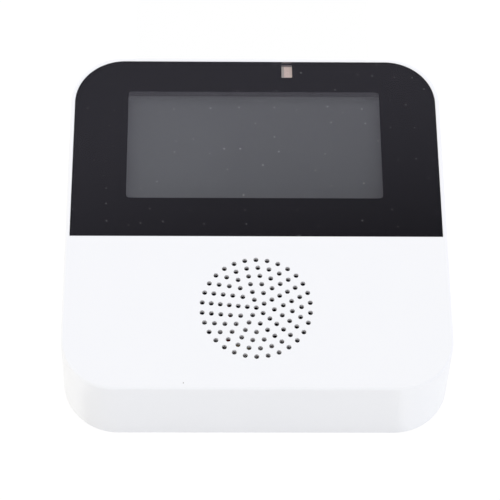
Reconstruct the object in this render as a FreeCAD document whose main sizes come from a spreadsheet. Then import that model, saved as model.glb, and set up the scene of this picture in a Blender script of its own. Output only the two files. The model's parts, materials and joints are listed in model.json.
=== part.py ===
import FreeCAD, Part
import os
import re
import Sketcher

# A square room thermo-hygrometer, lying on its back.
# The origin is the centre of the back, +X is to the display's right, +Y to its top, +Z out of its face.
# All sizes are millimetres, angles are degrees.

SIZES = {
    # housing: a square box with drafted sides, largest at the back
    "face_width": 86.0,
    "face_corner": 12.0,
    "side_draft": 1.5,
    "edge_round": 0.5,
    "side_wall": 2.0,
    "face_skin": 2.0,
    "grille_skin": 1.1,
    # display lens, flush in a recess of the face, with its black print and tape behind it
    "lens_rim": 1.0,
    "lens_corner": 11.4,
    "lens_foot_gap": 1.28,
    "lens_thickness": 1.5,
    "lens_fit": 0.06,
    "mask_thickness": 0.2,
    "tape_thickness": 0.15,
    "tape_width": 1.6,
    "tape_inset": 0.3,
    "floor_thickness": 1.2,
    # clear window in the black print, over the display, given by its margins on the lens
    "window_side": 12.65,
    "window_shift": -0.32,
    "window_drop": 7.88,
    "window_foot": 10.47,
    "window_corner": 0.9,
    "gasket_height": 2.15,
    "gasket_step": 0.25,
    "gasket_wall": 1.2,
    "gasket_fit": 0.2,
    # small clear window over the light sensor, and the light pipe under it
    "eye_width": 2.52,
    "eye_height": 3.65,
    "eye_corner": 0.15,
    "eye_x": 7.49,
    "eye_drop": 2.0,
    "pipe_lap": 0.2,
    "pipe_fit": 0.1,
    "pipe_wall_gap": 0.4,
    "pipe_holder_gap": 0.25,
    "pipe_gap": 0.2,
    # grille: rings of round holes, each ring with one more hole in each of five sectors
    "grille_rise": 19.75,
    "grille_shift": -0.19,
    "hole_radius": 0.56,
    "ring_pitch": 2.0,
    "ring_count": 6,
    "ring_holes": 5,
    "spoke_angle": 174.0,
    # air chamber behind the grille
    "chamber_radius": 16.8,
    "chamber_wall": 1.3,
    "foam_thickness": 1.0,
    "foam_lap": 0.15,
    # case screws, from the back into bosses of the front cover
    "boss_inset": 7.3,
    "boss_radius": 2.5,
    "tube_radius": 3.4,
    "boss_seat": 5.2,
    "case_pilot_radius": 1.05,
    "case_pilot_depth": 9.0,
    "case_screw_radius": 1.0,
    "case_screw_length": 10.0,
    "case_head_radius": 2.1,
    "case_head_height": 1.6,
    "case_head_seat": 3.0,
    "screw_fit": 0.3,
    # back plate
    "plate_thickness": 2.2,
    "plate_fit": 0.15,
    # battery door, which slides out over the top edge, and its rails
    "door_side_lap": 1.65,
    "door_low_lap": 1.9,
    "door_thickness": 1.4,
    "door_recess": 0.1,
    "door_fit": 0.1,
    "door_end_inset": 0.06,
    "rail_reach": 0.9,
    "rail_height": 0.6,
    "rail_level": 0.6,
    "grip_count": 6,
    "grip_pitch": 1.8,
    "grip_width": 16.0,
    "grip_groove": 0.8,
    "grip_depth": 0.4,
    "grip_start": 26.0,
    # three dry cells of the AAA size in a tray above the door
    "cell_count": 3,
    "cell_diameter": 10.5,
    "cell_length": 44.5,
    "cell_pitch": 11.0,
    "cell_gap": 0.15,
    "cell_edge": 0.4,
    "nub_radius": 1.9,
    "nub_length": 0.9,
    "tray_drop": 22.5,
    "tray_wall": 1.0,
    "tray_roof": 0.7,
    "tray_end_gap": 2.6,
    "tray_side_gap": 0.25,
    # sprung contacts at the ends of the cells
    "contact_thickness": 0.3,
    "contact_width": 7.0,
    "contact_height": 7.6,
    "leaf_width": 4.6,
    "leaf_span": 6.6,
    "leaf_gap": 0.05,
    "tab_width": 2.0,
    "tab_fit": 0.2,
    # main board
    "board_gap": 0.05,
    "board_edge_gap": 0.5,
    "board_corner": 14.3,
    "board_thickness": 1.2,
    "post_inset": 4.0,
    "post_low_y": -22.0,
    "post_high_y": 20.0,
    "post_radius": 2.4,
    "board_pilot_radius": 0.85,
    "board_pilot_depth": 4.0,
    "board_screw_radius": 0.8,
    "board_screw_length": 4.6,
    "board_head_radius": 1.8,
    "board_head_height": 1.2,
    "cross_length": 2.0,
    "cross_width": 0.5,
    "cross_depth": 0.6,
    # liquid crystal display, its backlight, strips and holder
    "glass_side": 2.0,
    "glass_end": 2.25,
    "glass_plate": 0.7,
    "glass_ledge": 1.4,
    "polariser_border": 0.8,
    "polariser_thickness": 0.2,
    "guide_inset": 1.2,
    "guide_thickness": 1.9,
    "reflector_thickness": 0.2,
    "strip_short": 1.5,
    "strip_width": 1.2,
    "strip_edge": 0.2,
    "strip_gap": 0.3,
    "holder_wall": 1.2,
    "holder_fit": 0.15,
    "holder_lip": 0.7,
    "peg_radius": 0.5,
    "peg_length": 1.0,
    "peg_fit": 0.05,
    "led_count": 3,
    "led_width": 3.0,
    "led_depth": 0.7,
    "led_height": 1.4,
    # parts on the board, outside the chamber
    "chip_width": 7.0,
    "chip_height": 0.9,
    "chip_inset": 14.5,
    "chip_drop": 8.05,
    "chip_edge": 0.15,
    "radio_width": 12.0,
    "radio_length": 16.0,
    "radio_thickness": 0.8,
    "radio_inset": 12.5,
    "radio_drop": 11.05,
    "shield_width": 10.4,
    "shield_length": 10.4,
    "shield_height": 1.8,
    "shield_wall": 0.2,
    "shield_offset": 2.0,
    "radio_chip_width": 5.0,
    "capacitor_radius": 2.5,
    "capacitor_height": 4.6,
    "capacitor_round": 0.5,
    "capacitor_inset": 10.5,
    "capacitor_drop": 17.05,
    "light_sensor_width": 1.6,
    "light_sensor_length": 1.0,
    "light_sensor_height": 0.7,
    # parts on the board, inside the chamber
    "air_sensor_width": 3.0,
    "air_sensor_height": 1.0,
    "air_sensor_x": -9.2,
    "air_sensor_rise": 2.75,
    "air_sensor_mouth": 0.8,
    "air_sensor_mouth_depth": 0.4,
    "island_gap": 1.5,
    "island_slot": 1.0,
    "buzzer_radius": 6.0,
    "buzzer_height": 4.3,
    "buzzer_wall": 0.6,
    "buzzer_mouth": 1.2,
    "buzzer_x": 5.5,
    "buzzer_rise": 1.75,
    "disc_thickness": 0.3,
    "disc_level": 1.6,
    "disc_seat": 0.5,
    "status_led_width": 1.6,
    "status_led_length": 3.2,
    "status_led_height": 1.1,
    "status_led_x": -3.2,
    "status_led_rise": -6.25,
    "wire_x": -6.4,
    "wire_drop": 0.75,
    "wire_span": 18.0,
    "wire_rise": 2.9,
    "wire_radius": 0.5,
    # pairing button in the back plate, and the key switch that it presses
    "button_y": -10.0,
    "button_radius": 3.0,
    "button_level": 0.5,
    "button_fit": 0.1,
    "button_travel": 0.3,
    "flange_radius": 3.7,
    "flange_thickness": 0.8,
    "flange_gap": 0.1,
    "flange_fit": 0.3,
    "button_dish": 0.25,
    "stem_radius": 1.5,
    "tube_wall": 1.0,
    "tube_height": 3.4,
    "switch_width": 6.0,
    "switch_height": 3.5,
    "plunger_radius": 1.6,
    "plunger_reach": 1.0,
    "plunger_depth": 1.4,
    "switch_room": 2.3,
    "dome_radius": 2.2,
    "dome_thickness": 0.15,
    "dome_shoulder": 0.75,
    # air slots and hanging slots of the back plate; a short flat stays between the arcs of each end
    "end_flat": 0.02,
    "vent_count": 6,
    "vent_pitch": 4.5,
    "vent_width": 1.6,
    "vent_length": 13.0,
    "vent_y": -27.5,
    "hanger_spacing": 60.0,
    "hanger_y": -16.0,
    "hanger_entry_radius": 3.6,
    "hanger_slot_radius": 1.9,
    "hanger_rise": 6.5,
}

doc = FreeCAD.newDocument("thermo_hygrometer")
sheet = doc.addObject("Spreadsheet::Sheet", "sizes")
for row, (alias, size) in enumerate(SIZES.items(), start=1):
    sheet.set(f"A{row}", str(size))
    sheet.setAlias(f"A{row}", alias)
doc.recompute()


# Expressions are written with the names of the sheet's cells

def with_sheet(expression):
    """The expression with each size read from the sheet."""
    names = r"\b(" + "|".join(SIZES) + r")\b"
    return re.sub(names, r"sizes.\1", str(expression))


def value(expression):
    """The number that an expression has now."""
    return float(sheet.evalExpression(with_sheet(expression)))


def bind(thing, path, expression):
    """Ties one property to an expression."""
    thing.setExpression(path, with_sheet(expression))


# Heights above the back, built up from the battery door to the face
DOOR_TOP = "(door_recess + door_thickness)"
CELL_AXIS = f"({DOOR_TOP} + cell_gap + cell_diameter/2)"
TRAY_ROOF = f"({CELL_AXIS} + cell_diameter/2 + cell_gap)"
TRAY_TOP = f"({TRAY_ROOF} + tray_roof)"
BOARD_BACK = f"({TRAY_TOP} + board_gap)"
BOARD_TOP = f"({BOARD_BACK} + board_thickness)"
GUIDE_BACK = f"({BOARD_TOP} + reflector_thickness)"
REAR_POLARISER = f"({GUIDE_BACK} + guide_thickness)"
GLASS_BACK = f"({REAR_POLARISER} + polariser_thickness)"
GLASS_TOP = f"({GLASS_BACK} + 2*glass_plate)"
DISPLAY_TOP = f"({GLASS_TOP} + polariser_thickness)"
MASK_BACK = f"({DISPLAY_TOP} + gasket_height)"
LENS_BACK = f"({MASK_BACK} + mask_thickness)"
BODY_DEPTH = f"({LENS_BACK} + lens_thickness)"
FLOOR_TOP = f"({MASK_BACK} - tape_thickness)"
FLOOR_BACK = f"({FLOOR_TOP} - floor_thickness)"
SKIN_BACK = f"({BODY_DEPTH} - face_skin)"
SWITCH_BACK = f"({BOARD_BACK} - switch_height)"

# Outline of the housing at its back, and of the space inside it there
SPREAD = f"({BODY_DEPTH}*tan(side_draft))"
BASE_WIDTH = f"(face_width + 2*{SPREAD})"
BASE_CORNER = f"(face_corner + {SPREAD})"
INNER_WIDTH = f"({BASE_WIDTH} - 2*side_wall)"
INNER_CORNER = f"({BASE_CORNER} - side_wall)"

# Grille, lens and window on the face
GRILLE_Y = "(grille_rise - face_width/2)"
AIR_SENSOR_Y = f"({GRILLE_Y} + air_sensor_rise)"
LENS_SIDE = "(face_width/2 - lens_rim)"
LENS_LOW = f"({GRILLE_Y} + chamber_radius + lens_foot_gap)"
WINDOW_WIDTH = f"(2*{LENS_SIDE} - 2*window_side)"
WINDOW_HEIGHT = f"({LENS_SIDE} - window_drop - window_foot - {LENS_LOW})"
WINDOW_Y = f"({LENS_LOW} + window_foot + {WINDOW_HEIGHT}/2)"
EYE_Y = f"({LENS_SIDE} - eye_drop)"

# Display behind the window
GLASS_WIDTH = f"({WINDOW_WIDTH} + 2*glass_side)"
GLASS_HEIGHT = f"({WINDOW_HEIGHT} + 2*glass_end)"
GUIDE_WIDTH = f"({GLASS_WIDTH} - 2*guide_inset)"
GUIDE_HEIGHT = f"({GLASS_HEIGHT} - 2*strip_edge - 2*strip_width - 2*strip_gap)"
HOLDER_WIDTH = f"({GLASS_WIDTH} + 2*holder_fit + 2*holder_wall)"
HOLDER_HEIGHT = f"({GLASS_HEIGHT} + 2*holder_fit + 2*holder_wall)"
HOLDER_LOW = f"({WINDOW_Y} - {HOLDER_HEIGHT}/2)"
HOLDER_HIGH = f"({WINDOW_Y} + {HOLDER_HEIGHT}/2)"

# Light pipe's stem, between the display's holder and the top wall
STEM_LOW = f"({HOLDER_HIGH} + pipe_holder_gap)"
STEM_HIGH = "(face_width/2 - side_wall - pipe_wall_gap)"

# Inside of the battery tray, and the door that covers it
TRAY_Y = "(face_width/2 - tray_drop)"
TRAY_LENGTH = "(cell_length + 2*tray_end_gap)"
TRAY_SPAN = "((cell_count - 1)*cell_pitch + cell_diameter + 2*tray_side_gap)"
DOOR_WIDTH = f"({TRAY_LENGTH} + 2*door_side_lap)"
RAIL_WIDTH = f"({DOOR_WIDTH} + 2*rail_reach)"
DOOR_START = f"({TRAY_Y} - {TRAY_SPAN}/2 - door_low_lap)"
DOOR_END = f"({BASE_WIDTH}/2 - door_end_inset)"

# Patterns of screws, posts and pegs
BOARD_WIDTH = "(face_width - 2*side_wall - 2*board_edge_gap)"
BOSS_REACH = "(face_width/2 - boss_inset)"
POST_REACH = f"({BOARD_WIDTH}/2 - post_inset)"
BOSSES = [(f"{sx}*{BOSS_REACH}", f"{sy}*{BOSS_REACH}") for sx in (-1, 1) for sy in (-1, 1)]
POSTS = [(f"{sx}*{POST_REACH}", y) for sx in (-1, 1) for y in ("post_low_y", "post_high_y")]
PEGS = [(f"{sx}*({HOLDER_WIDTH} - holder_wall)/2", f"{sy}*({HOLDER_HEIGHT} - holder_wall)/2")
        for sx in (-1, 1) for sy in (-1, 1)]

HAIR = 1e-3     # how near two heights are when they are the same
OVERCUT = 1.0   # how far a cut runs past the face it opens


# Tools for the sketches

def new_body(name, x="0", y="0", z="0", group=False):
    """An empty body whose origin lies at x, y, z; a group may hold several solids."""
    body = doc.addObject("PartDesign::Body", name)
    body.Label = name
    body.AllowCompound = group
    for axis, place in (("x", x), ("y", y), ("z", z)):
        bind(body, f"Placement.Base.{axis}", place)
    return body


def new_sketch(body, z="0", x="0", y="0", plane="XY_Plane"):
    """An empty sketch on one of the body's origin planes, moved to x, y and lifted by z."""
    drawing = body.newObject("Sketcher::SketchObject", body.Name + "_sketch")
    origin_plane = next(f for f in body.Origin.OriginFeatures if f.Role == plane)
    drawing.AttachmentSupport = [(origin_plane, "")]
    drawing.MapMode = "FlatFace"
    for axis, place in (("x", x), ("y", y), ("z", z)):
        bind(drawing, f"AttachmentOffset.Base.{axis}", place)
    return drawing


def hold(drawing, kind, edge, point, expression):
    """Holds one point of an edge at a distance from the sketch's origin."""
    index = drawing.addConstraint(Sketcher.Constraint(kind, -1, 1, edge, point, value(expression)))
    bind(drawing, f"Constraints[{index}]", expression)


def circle(drawing, x, y, radius):
    """A circle with its centre at x, y."""
    centre = FreeCAD.Vector(value(x), value(y), 0)
    edge = drawing.addGeometry(Part.Circle(centre, FreeCAD.Vector(0, 0, 1), value(radius)))
    hold(drawing, "DistanceX", edge, 3, x)
    hold(drawing, "DistanceY", edge, 3, y)
    index = drawing.addConstraint(Sketcher.Constraint("Radius", edge, value(radius)))
    bind(drawing, f"Constraints[{index}]", radius)


def polygon(drawing, points):
    """A closed outline of straight edges through the points."""
    corners = [FreeCAD.Vector(value(x), value(y), 0) for x, y in points]
    edges = [drawing.addGeometry(Part.LineSegment(corner, corners[(i + 1) % len(corners)]))
             for i, corner in enumerate(corners)]
    for i, edge in enumerate(edges):
        drawing.addConstraint(Sketcher.Constraint("Coincident", edge, 2, edges[(i + 1) % len(edges)], 1))
        hold(drawing, "DistanceX", edge, 1, points[i][0])
        hold(drawing, "DistanceY", edge, 1, points[i][1])


def rectangle(drawing, left, low, right, high, radii=("0", "0", "0", "0")):
    """An upright rectangle; radii round its lower left, lower right, upper right and upper left corner."""
    x = {"left": value(left), "right": value(right)}
    y = {"low": value(low), "high": value(high)}
    places = [("left", "low", 180), ("right", "low", 270), ("right", "high", 0), ("left", "high", 90)]
    ends = []
    for (side, level, start), radius in zip(places, radii):
        r = value(radius)
        inward = FreeCAD.Vector(r if side == "left" else -r, r if level == "low" else -r, 0)
        centre = FreeCAD.Vector(x[side], y[level], 0) + inward
        turn = FreeCAD.Rotation(FreeCAD.Vector(0, 0, 1), start)
        enter = centre + turn.multVec(FreeCAD.Vector(r, 0, 0))
        leave = centre + turn.multVec(FreeCAD.Vector(0, r, 0))
        ends.append((centre, r, start, enter, leave))
    lines = [drawing.addGeometry(Part.LineSegment(ends[i][4], ends[(i + 1) % 4][3])) for i in range(4)]
    for i, (centre, r, start, enter, leave) in enumerate(ends):
        before = lines[i - 1]
        if r <= 0:
            drawing.addConstraint(Sketcher.Constraint("Coincident", before, 2, lines[i], 1))
            continue
        halfway = FreeCAD.Rotation(FreeCAD.Vector(0, 0, 1), start + 45)
        middle = centre + halfway.multVec(FreeCAD.Vector(r, 0, 0))
        arc = drawing.addGeometry(Part.Arc(enter, middle, leave))
        drawing.addConstraint(Sketcher.Constraint("Tangent", before, 2, arc, 1))
        drawing.addConstraint(Sketcher.Constraint("Tangent", arc, 2, lines[i], 1))
        index = drawing.addConstraint(Sketcher.Constraint("Radius", arc, r))
        bind(drawing, f"Constraints[{index}]", radii[i])
    for line, direction in zip(lines, ("Horizontal", "Vertical", "Horizontal", "Vertical")):
        drawing.addConstraint(Sketcher.Constraint(direction, line))
    hold(drawing, "DistanceY", lines[0], 1, low)
    hold(drawing, "DistanceX", lines[1], 1, right)
    hold(drawing, "DistanceY", lines[2], 1, high)
    hold(drawing, "DistanceX", lines[3], 1, left)


def centred(drawing, x, y, width, height, corner="0"):
    """An upright rectangle about the point x, y."""
    rectangle(drawing, f"({x}) - ({width})/2", f"({y}) - ({height})/2",
              f"({x}) + ({width})/2", f"({y}) + ({height})/2", (corner,) * 4)


# Tools for the features

def pad(body, drawing, length, draft=None):
    """Fills the sketch upwards; a draft draws the sides in."""
    feature = body.newObject("PartDesign::Pad", body.Name + "_pad")
    feature.Profile = drawing
    bind(feature, "Length", length)
    if draft:
        bind(feature, "TaperAngle", f"-({draft})")
    doc.recompute()
    return feature


def pocket(body, drawing, depth, upwards=False, draft=None):
    """Cuts the sketch downwards, or upwards, and makes sure that it cuts."""
    before = body.Tip.Shape.Volume
    feature = body.newObject("PartDesign::Pocket", body.Name + "_pocket")
    feature.Profile = drawing
    feature.Reversed = upwards
    bind(feature, "Length", depth)
    if draft:
        bind(feature, "TaperAngle", f"-({draft})")
    doc.recompute()
    if feature.Shape.Volume >= before:
        raise ValueError(f"a pocket of {body.Label} cuts nothing")
    return feature


def round_edges(body, radius, chosen):
    """Rounds the edges of the body's tip for which chosen(edge) is true."""
    tip = body.Tip
    names = [f"Edge{i}" for i, edge in enumerate(tip.Shape.Edges, start=1) if chosen(edge)]
    feature = body.newObject("PartDesign::Fillet", body.Name + "_round")
    feature.Base = (tip, names)
    bind(feature, "Radius", radius)
    doc.recompute()
    return feature


def at_height(height):
    """Chooses edges that lie level at a height of the body's own frame."""
    level = value(height)
    return lambda edge: all(abs(corner.Z - level) < HAIR for corner in edge.Vertexes)


def repeat_along(body, feature, drawing, axis, length, count):
    """Repeats a feature along an axis of its sketch."""
    pattern = body.newObject("PartDesign::LinearPattern", body.Name + "_row")
    pattern.Originals = [feature]
    pattern.Direction = (drawing, [axis])
    bind(pattern, "Length", length)
    bind(pattern, "Occurrences", count)
    body.Tip = pattern
    doc.recompute()
    return pattern


def repeat_round(body, feature, drawing, count):
    """Repeats a feature round its sketch's own origin."""
    pattern = body.newObject("PartDesign::PolarPattern", body.Name + "_ring")
    pattern.Originals = [feature]
    pattern.Axis = (drawing, ["N_Axis"])
    pattern.Angle = 360
    bind(pattern, "Occurrences", count)
    body.Tip = pattern
    doc.recompute()
    return pattern


def circles_pad(body, places, radius, z, length):
    """Fills a circle at each place."""
    drawing = new_sketch(body, z)
    for x, y in places:
        circle(drawing, x, y, radius)
    return pad(body, drawing, length)


def circles_pocket(body, places, radius, z, depth, upwards=False):
    """Cuts a circle at each place."""
    drawing = new_sketch(body, z)
    for x, y in places:
        circle(drawing, x, y, radius)
    return pocket(body, drawing, depth, upwards)


def block(name, x, y, z, width, length, height, corner="0"):
    """A plain body on a rectangle about its own origin."""
    body = new_body(name, x, y, z)
    drawing = new_sketch(body)
    centred(drawing, "0", "0", width, length, corner)
    pad(body, drawing, height)
    return body


def revolve(body, points):
    """Turns an outline of radius and height points about the body's own Z axis."""
    drawing = new_sketch(body, plane="XZ_Plane")
    polygon(drawing, points)
    feature = body.newObject("PartDesign::Revolution", body.Name + "_turned")
    feature.Profile = drawing
    feature.ReferenceAxis = (drawing, ["V_Axis"])
    feature.Angle = 360
    doc.recompute()
    return feature


# Front

def lens_outline(drawing, inset):
    """The display lens drawn in by the inset: round at the top, square at the foot."""
    side = f"{LENS_SIDE} - ({inset})"
    corner = f"lens_corner - ({inset})"
    rectangle(drawing, f"-({side})", f"{LENS_LOW} + ({inset})", side, side, ("0", "0", corner, corner))


def pipe_head(drawing, clearance):
    """The light pipe's head, which laps the small window all round."""
    grow = f"2*pipe_lap + 2*({clearance})"
    centred(drawing, "eye_x", EYE_Y, f"eye_width + {grow}", f"eye_height + {grow}")


def make_front_cover():
    """The white shell: face, drafted sides, bosses, posts and the wall of the air chamber."""
    body = new_body("front_cover")
    outline = new_sketch(body)
    centred(outline, "0", "0", BASE_WIDTH, BASE_WIDTH, BASE_CORNER)
    pad(body, outline, BODY_DEPTH, draft="side_draft")
    round_edges(body, "edge_round", at_height(BODY_DEPTH))

    inside = new_sketch(body)
    centred(inside, "0", "0", INNER_WIDTH, INNER_WIDTH, INNER_CORNER)
    pocket(body, inside, FLOOR_BACK, upwards=True, draft="side_draft")

    side = f"({INNER_WIDTH}/2 - {SPREAD})"
    low_inside = new_sketch(body, FLOOR_BACK)
    corner = f"{INNER_CORNER} - {SPREAD}"
    rectangle(low_inside, f"-{side}", f"-{side}", side, f"{LENS_LOW} - side_wall", (corner, corner, "0", "0"))
    pocket(body, low_inside, f"{SKIN_BACK} - {FLOOR_BACK}", upwards=True)

    # The skin is thinner inside the air chamber, where the grille is
    circles_pocket(body, [("0", GRILLE_Y)], "chamber_radius - chamber_wall", SKIN_BACK,
                   "face_skin - grille_skin", upwards=True)

    # What stands on the inside of the face runs into the skin, and the lens recess trims it
    rooted = f"{BODY_DEPTH} - face_skin/2"
    wall = new_sketch(body, f"{BOARD_TOP} + foam_thickness")
    circle(wall, "0", GRILLE_Y, "chamber_radius")
    circle(wall, "0", GRILLE_Y, "chamber_radius - chamber_wall")
    pad(body, wall, f"{rooted} - {BOARD_TOP} - foam_thickness")
    circles_pad(body, BOSSES, "boss_radius", "boss_seat", f"{rooted} - boss_seat")
    circles_pad(body, POSTS, "post_radius", BOARD_TOP, f"{rooted} - {BOARD_TOP}")
    circles_pocket(body, BOSSES, "case_pilot_radius", "boss_seat", "case_pilot_depth", upwards=True)
    circles_pocket(body, POSTS, "board_pilot_radius", BOARD_TOP, "board_pilot_depth", upwards=True)

    recess = new_sketch(body, BODY_DEPTH)
    lens_outline(recess, "-lens_fit")
    pocket(body, recess, f"{BODY_DEPTH} - {FLOOR_TOP}")
    opening = new_sketch(body, FLOOR_TOP)
    grow = "2*gasket_step + 2*gasket_wall + 2*gasket_fit"
    centred(opening, "window_shift", WINDOW_Y, f"{WINDOW_WIDTH} + {grow}", f"{WINDOW_HEIGHT} + {grow}")
    pocket(body, opening, "floor_thickness")
    pipe_hole = new_sketch(body, FLOOR_TOP)
    pipe_head(pipe_hole, "pipe_fit")
    pocket(body, pipe_hole, "floor_thickness")

    circles_pocket(body, [("grille_shift", GRILLE_Y)], "hole_radius", BODY_DEPTH, "grille_skin")
    for ring in range(1, int(value("ring_count")) + 1):
        hole = new_sketch(body, BODY_DEPTH, x="grille_shift", y=GRILLE_Y)
        reach = f"{ring}*ring_pitch"
        circle(hole, f"{reach}*cos(spoke_angle)", f"{reach}*sin(spoke_angle)", "hole_radius")
        repeat_round(body, pocket(body, hole, "grille_skin"), hole, f"{ring}*ring_holes")

    # The battery door passes under the top wall
    notch = new_sketch(body)
    half = f"({RAIL_WIDTH}/2 + door_fit)"
    rectangle(notch, f"-{half}", f"{INNER_WIDTH}/2 - side_wall", half, f"{BASE_WIDTH}/2 + {OVERCUT}")
    pocket(body, notch, f"{DOOR_TOP} + door_fit", upwards=True)


def make_lens_stack():
    """The clear lens, the black print on its back and the tape that holds it in the recess."""
    lens = new_body("display_lens", z=LENS_BACK)
    outline = new_sketch(lens)
    lens_outline(outline, "0")
    pad(lens, outline, "lens_thickness")

    mask = new_body("lens_mask", z=MASK_BACK)
    outline = new_sketch(mask)
    lens_outline(outline, "0")
    centred(outline, "window_shift", WINDOW_Y, WINDOW_WIDTH, WINDOW_HEIGHT, "window_corner")
    centred(outline, "eye_x", EYE_Y, "eye_width", "eye_height", "eye_corner")
    pad(mask, outline, "mask_thickness")

    tape = new_body("lens_tape", z=FLOOR_TOP)
    outline = new_sketch(tape)
    lens_outline(outline, "tape_inset")
    lens_outline(outline, "tape_inset + tape_width")
    pad(tape, outline, "tape_thickness")
    notch = new_sketch(tape, "tape_thickness")
    pipe_head(notch, "pipe_fit")
    pocket(tape, notch, "tape_thickness")

    gasket = new_body("display_gasket", "window_shift", WINDOW_Y, DISPLAY_TOP)
    outline = new_sketch(gasket)
    for step in ("2*gasket_step", "2*gasket_step + 2*gasket_wall"):
        centred(outline, "0", "0", f"{WINDOW_WIDTH} + {step}", f"{WINDOW_HEIGHT} + {step}", "window_corner")
    pad(gasket, outline, "gasket_height")


def make_light_pipe():
    """The clear pipe that leads light from the small window down to the light sensor."""
    body = new_body("light_pipe")
    sensor_top = f"({BOARD_TOP} + light_sensor_height + pipe_gap)"
    head_back = f"({FLOOR_BACK} + pipe_fit)"
    half = "(eye_width/2 + pipe_lap)"
    stem = new_sketch(body, sensor_top)
    rectangle(stem, f"eye_x - {half}", STEM_LOW, f"eye_x + {half}", STEM_HIGH)
    pad(body, stem, f"{head_back} - {sensor_top}")
    head = new_sketch(body, head_back)
    pipe_head(head, "0")
    pad(body, head, f"{MASK_BACK} - {head_back}")


# Display

def make_display():
    """The glass cell with its polarisers, backlight, contact strips and lamps."""
    x, y = "window_shift", WINDOW_Y
    block("display_reflector", x, y, BOARD_TOP, GUIDE_WIDTH, GUIDE_HEIGHT, "reflector_thickness")
    block("light_guide", x, y, GUIDE_BACK, GUIDE_WIDTH, GUIDE_HEIGHT, "guide_thickness")
    film = (f"{WINDOW_WIDTH} + 2*polariser_border", f"{WINDOW_HEIGHT} + 2*polariser_border")
    block("rear_polariser", x, y, REAR_POLARISER, *film, "polariser_thickness")
    block("front_polariser", x, y, GLASS_TOP, *film, "polariser_thickness")

    glass = block("display_glass", x, y, GLASS_BACK, GLASS_WIDTH, GLASS_HEIGHT, "glass_plate")
    upper = new_sketch(glass, "glass_plate")
    rectangle(upper, f"-{GLASS_WIDTH}/2", f"glass_ledge - {GLASS_HEIGHT}/2",
              f"{GLASS_WIDTH}/2", f"{GLASS_HEIGHT}/2")
    pad(glass, upper, "glass_plate")

    strips = new_body("contact_strips", x, y, BOARD_TOP, group=True)
    rows = new_sketch(strips)
    offset = f"({GLASS_HEIGHT}/2 - strip_edge - strip_width/2)"
    for sign in (-1, 1):
        centred(rows, "0", f"{sign}*{offset}", f"{GUIDE_WIDTH} - 2*strip_short", "strip_width")
    pad(strips, rows, f"{GLASS_BACK} - {BOARD_TOP}")

    leds = new_body("backlight_leds", x, y, BOARD_TOP, group=True)
    first = new_sketch(leds)
    run = f"({GUIDE_HEIGHT}*(led_count - 1)/led_count)"
    centred(first, f"-{GUIDE_WIDTH}/2 - led_depth/2 - holder_fit", f"-{run}/2", "led_depth", "led_width")
    led = pad(leds, first, "led_height")
    repeat_along(leds, led, first, "V_Axis", run, "led_count")


def make_display_holder():
    """The black frame that clips the display to the board, with four pegs."""
    holder = new_body("display_holder", "window_shift", WINDOW_Y, BOARD_TOP)
    outline = new_sketch(holder)
    centred(outline, "0", "0", HOLDER_WIDTH, HOLDER_HEIGHT)
    pad(holder, outline, f"{GLASS_TOP} + holder_lip - {BOARD_TOP}")
    inside = new_sketch(holder)
    centred(inside, "0", "0", f"{GLASS_WIDTH} + 2*holder_fit", f"{GLASS_HEIGHT} + 2*holder_fit")
    pocket(holder, inside, f"{GLASS_TOP} - {BOARD_TOP}", upwards=True)
    lip = new_sketch(holder, f"{GLASS_TOP} - {BOARD_TOP}")
    grow = "2*gasket_step + 2*gasket_wall + 2*gasket_fit"
    centred(lip, "0", "0", f"{WINDOW_WIDTH} + {grow}", f"{WINDOW_HEIGHT} + {grow}")
    pocket(holder, lip, "holder_lip", upwards=True)
    circles_pad(holder, PEGS, "peg_radius", "-peg_length", "peg_length")


# Board

def make_main_board():
    """The board: cut corners, holes for screws, pegs and tabs, and slots round the air sensor."""
    board = new_body("main_board", z=BOARD_BACK)
    outline = new_sketch(board)
    half = f"{BOARD_WIDTH}/2"
    cut = f"({half} - board_corner)"
    corners = []
    for sx, sy in ((-1, -1), (1, -1), (1, 1), (-1, 1)):
        ends = [(f"{sx}*{half}", f"{sy}*{cut}"), (f"{sx}*{cut}", f"{sy}*{half}")]
        corners += ends if sx == sy else ends[::-1]
    polygon(outline, corners)
    pad(board, outline, "board_thickness")
    through = "board_thickness"
    circles_pocket(board, POSTS, "board_screw_radius + screw_fit/2", through, through)
    pegs = [(f"window_shift + {px}", f"{WINDOW_Y} + {py}") for px, py in PEGS]
    circles_pocket(board, pegs, "peg_radius + peg_fit", through, through)
    tabs = new_sketch(board, through)
    for side, row in ((-1, -1), (1, 1)):
        tab_slot(tabs, side, cell_y(row))
    pocket(board, tabs, through)

    # Three slots leave the air sensor on a tongue of the board, away from its heat
    reach = "(air_sensor_width/2 + island_gap + island_slot/2)"
    length = f"2*{reach} - 2*island_slot"
    slots = new_sketch(board, through)
    for sign in (-1, 1):
        centred(slots, "air_sensor_x", f"{AIR_SENSOR_Y} + {sign}*{reach}", length, "island_slot")
    centred(slots, f"air_sensor_x - {reach}", AIR_SENSOR_Y, "island_slot", length)
    pocket(board, slots, through)


def tab_x(side):
    """Middle of the contact plates at the left (-1) or right (1) end of the tray."""
    return f"{side}*({TRAY_LENGTH}/2 - leaf_gap - contact_thickness/2)"


def cell_y(row):
    """Axis of the cell in a row counted from the middle one."""
    return f"{TRAY_Y} + {row}*cell_pitch"


def tab_slot(drawing, side, y):
    """The slot that one soldered tab passes through."""
    centred(drawing, tab_x(side), y, "contact_thickness + 2*tab_fit", "tab_width + 2*tab_fit")


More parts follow.
